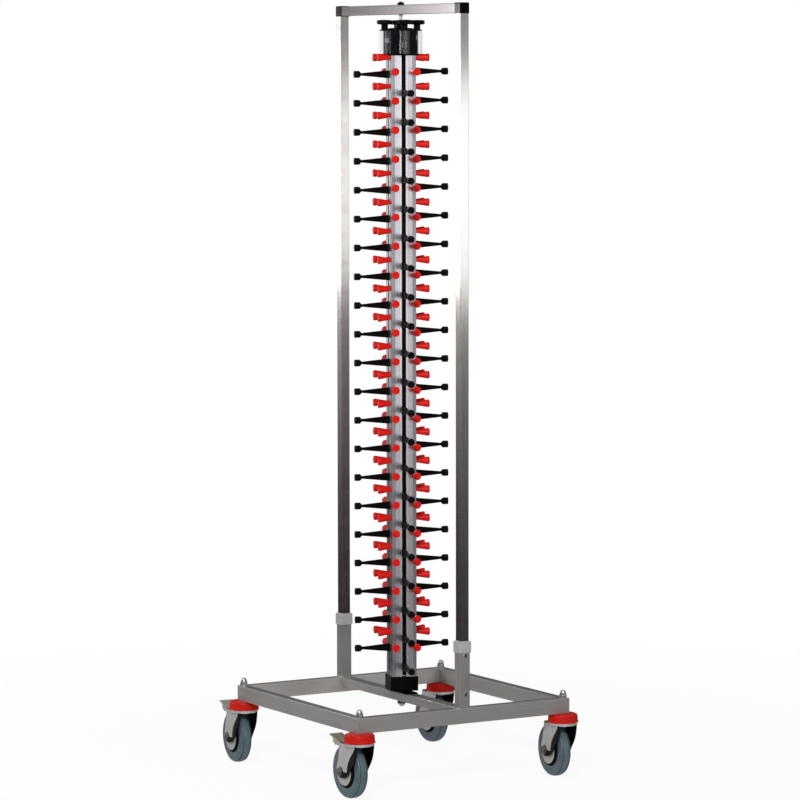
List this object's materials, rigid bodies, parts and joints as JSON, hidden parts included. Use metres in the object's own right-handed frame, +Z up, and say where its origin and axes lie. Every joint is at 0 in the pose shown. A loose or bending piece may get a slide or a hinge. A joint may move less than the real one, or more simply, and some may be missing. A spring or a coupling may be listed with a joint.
{
  "type": "plate dispenser cart",
  "caption": "Tall wheeled rack: a square base with a hoop, and a turning column whose four sides carry red grips over height-adjustable black arms that hold plates by the rim.",
  "frame": {"origin": "on the column's turning axis, at floor level", "axes": "+Z up; +X along the cross beam, towards the hoop post on the front side; +Y towards the right-hand side; the brakes are on the -Y side"},
  "size_m": [0.6956, 0.6208, 1.806],
  "materials": {
    "satin_steel": "satin brushed stainless",
    "bright_steel": "fine brushed stainless, brighter",
    "column_aluminium": "satin anodised, fine lengthwise lines",
    "light_plastic": "light grey-white moulded plastic",
    "black_plastic": "black moulded plastic",
    "black_rubber": "black soft cap",
    "red_plastic": "bright red moulded plastic",
    "clear_plastic": "clear plastic tube",
    "fastener_steel": "polished fastener",
    "zinc_steel": "zinc-plated pressed steel",
    "grey_tyre": "blue-grey non-marking rubber",
    "hub_plastic": "black rim and pale centre disc"
  },
  "bodies": {
    "base": {"front_rail": "satin_steel", "right_rail": "satin_steel", "back_rail": "satin_steel", "left_rail": "satin_steel", "cross_beam": "satin_steel", "lower_posts": "satin_steel", "upright_tubes": "bright_steel", "top_bar": "bright_steel", "post_collars": "light_plastic", "post_screws": "fastener_steel", "corner_connectors": "black_plastic", "top_pivot_pin": "fastener_steel", "top_pivot_bush": "light_plastic", "top_pivot_cap": "black_plastic", "swivel_pad": "black_plastic", "swivel_washer": "black_plastic", "lower_pivot_bolt": "fastener_steel", "lower_pivot_nut": "fastener_steel", "caster_stems": "fastener_steel", "caster_cap_nuts": "fastener_steel", "corner_bumpers": "red_plastic"},
    "column": {"column_extrusion": "column_aluminium", "base_block": "black_plastic", "head_block": "black_plastic", "clear_sleeves": "clear_plastic", "grip_pins": "red_plastic"},
    "comb_front": {"comb_strip_front": "black_plastic", "arms_front": "black_plastic", "arm_tips_front": "black_rubber"},
    "knob_front": {"height_knob_front": "black_plastic"},
    "comb_right": {"comb_strip_right": "black_plastic", "arms_right": "black_plastic", "arm_tips_right": "black_rubber"},
    "knob_right": {"height_knob_right": "black_plastic"},
    "comb_back": {"comb_strip_back": "black_plastic", "arms_back": "black_plastic", "arm_tips_back": "black_rubber"},
    "knob_back": {"height_knob_back": "black_plastic"},
    "comb_left": {"comb_strip_left": "black_plastic", "arms_left": "black_plastic", "arm_tips_left": "black_rubber"},
    "knob_left": {"height_knob_left": "black_plastic"},
    "fork_front_left": {"fork_front_left": "zinc_steel", "axle_bolt_front_left": "fastener_steel"},
    "wheel_front_left": {"tyre_front_left": "grey_tyre", "wheel_hub_front_left": "hub_plastic"},
    "pedal_front_left": {"brake_pedal_front_left": "zinc_steel"},
    "fork_front_right": {"fork_front_right": "zinc_steel", "axle_bolt_front_right": "fastener_steel"},
    "wheel_front_right": {"tyre_front_right": "grey_tyre", "wheel_hub_front_right": "hub_plastic"},
    "fork_back_left": {"fork_back_left": "zinc_steel", "axle_bolt_back_left": "fastener_steel"},
    "wheel_back_left": {"tyre_back_left": "grey_tyre", "wheel_hub_back_left": "hub_plastic"},
    "pedal_back_left": {"brake_pedal_back_left": "zinc_steel"},
    "fork_back_right": {"fork_back_right": "zinc_steel", "axle_bolt_back_right": "fastener_steel"},
    "wheel_back_right": {"tyre_back_right": "grey_tyre", "wheel_hub_back_right": "hub_plastic"}
  },
  "joints": [
    {"name": "column_spin", "type": "hinge", "parent": "base", "child": "column", "pos_m": [0, 0, 0.2], "axis": [0, 0, 1], "continuous": true},
    {"name": "comb_slide_front", "type": "slide", "parent": "column", "child": "comb_front", "axis": [0, 0, 1], "range_m": [-0.0028, 0.0212]},
    {"name": "knob_turn_front", "type": "hinge", "parent": "column", "child": "knob_front", "pos_m": [0.03651, -0.01222, 1.7583], "axis": [0, 0, 1], "range_deg": [-2545.2, 337.2]},
    {"name": "comb_slide_right", "type": "slide", "parent": "column", "child": "comb_right", "axis": [0, 0, 1], "range_m": [-0.0202, 0.0038]},
    {"name": "knob_turn_right", "type": "hinge", "parent": "column", "child": "knob_right", "pos_m": [0.01222, 0.03651, 1.7583], "axis": [0, 0, 1], "range_deg": [-457.2, 2425.2]},
    {"name": "comb_slide_back", "type": "slide", "parent": "column", "child": "comb_back", "axis": [0, 0, 1], "range_m": [-0.013, 0.011]},
    {"name": "knob_turn_back", "type": "hinge", "parent": "column", "child": "knob_back", "pos_m": [-0.03651, 0.01222, 1.7583], "axis": [0, 0, 1], "range_deg": [-1321.2, 1561.2]},
    {"name": "comb_slide_left", "type": "slide", "parent": "column", "child": "comb_left", "axis": [0, 0, 1], "range_m": [-0.013, 0.011]},
    {"name": "knob_turn_left", "type": "hinge", "parent": "column", "child": "knob_left", "pos_m": [-0.01222, -0.03651, 1.7583], "axis": [0, 0, 1], "range_deg": [-1321.2, 1561.2]},
    {"name": "swivel_front_left", "type": "hinge", "parent": "base", "child": "fork_front_left", "pos_m": [0.274, -0.274, 0.138], "axis": [0, 0, 1], "continuous": true},
    {"name": "roll_front_left", "type": "hinge", "parent": "fork_front_left", "child": "wheel_front_left", "pos_m": [0.232, -0.274, 0.0625], "axis": [0, 1, 0], "continuous": true},
    {"name": "brake_front_left", "type": "hinge", "parent": "fork_front_left", "child": "pedal_front_left", "pos_m": [0.233, -0.274, 0.1205], "axis": [0, -1, 0], "range_deg": [0, 8]},
    {"name": "swivel_front_right", "type": "hinge", "parent": "base", "child": "fork_front_right", "pos_m": [0.274, 0.274, 0.138], "axis": [0, 0, 1], "continuous": true},
    {"name": "roll_front_right", "type": "hinge", "parent": "fork_front_right", "child": "wheel_front_right", "pos_m": [0.23216, 0.27766, 0.0625], "axis": [0.0872, 0.9962, 0], "continuous": true},
    {"name": "swivel_back_left", "type": "hinge", "parent": "base", "child": "fork_back_left", "pos_m": [-0.274, -0.274, 0.138], "axis": [0, 0, 1], "continuous": true},
    {"name": "roll_back_left", "type": "hinge", "parent": "fork_back_left", "child": "wheel_back_left", "pos_m": [-0.31584, -0.27034, 0.0625], "axis": [0.0872, 0.9962, 0], "continuous": true},
    {"name": "brake_back_left", "type": "hinge", "parent": "fork_back_left", "child": "pedal_back_left", "pos_m": [-0.31484, -0.27043, 0.1205], "axis": [-0.0872, -0.9962, 0], "range_deg": [0, 8]},
    {"name": "swivel_back_right", "type": "hinge", "parent": "base", "child": "fork_back_right", "pos_m": [-0.274, 0.274, 0.138], "axis": [0, 0, 1], "continuous": true},
    {"name": "roll_back_right", "type": "hinge", "parent": "fork_back_right", "child": "wheel_back_right", "pos_m": [-0.316, 0.274, 0.0625], "axis": [0, 1, 0], "continuous": true}
  ],
  "couplings": [
    {"joint": "knob_turn_front", "follows": "comb_slide_front", "rad_per_m": -2094.4},
    {"joint": "knob_turn_right", "follows": "comb_slide_right", "rad_per_m": -2094.4},
    {"joint": "knob_turn_back", "follows": "comb_slide_back", "rad_per_m": -2094.4},
    {"joint": "knob_turn_left", "follows": "comb_slide_left", "rad_per_m": -2094.4}
  ]
}
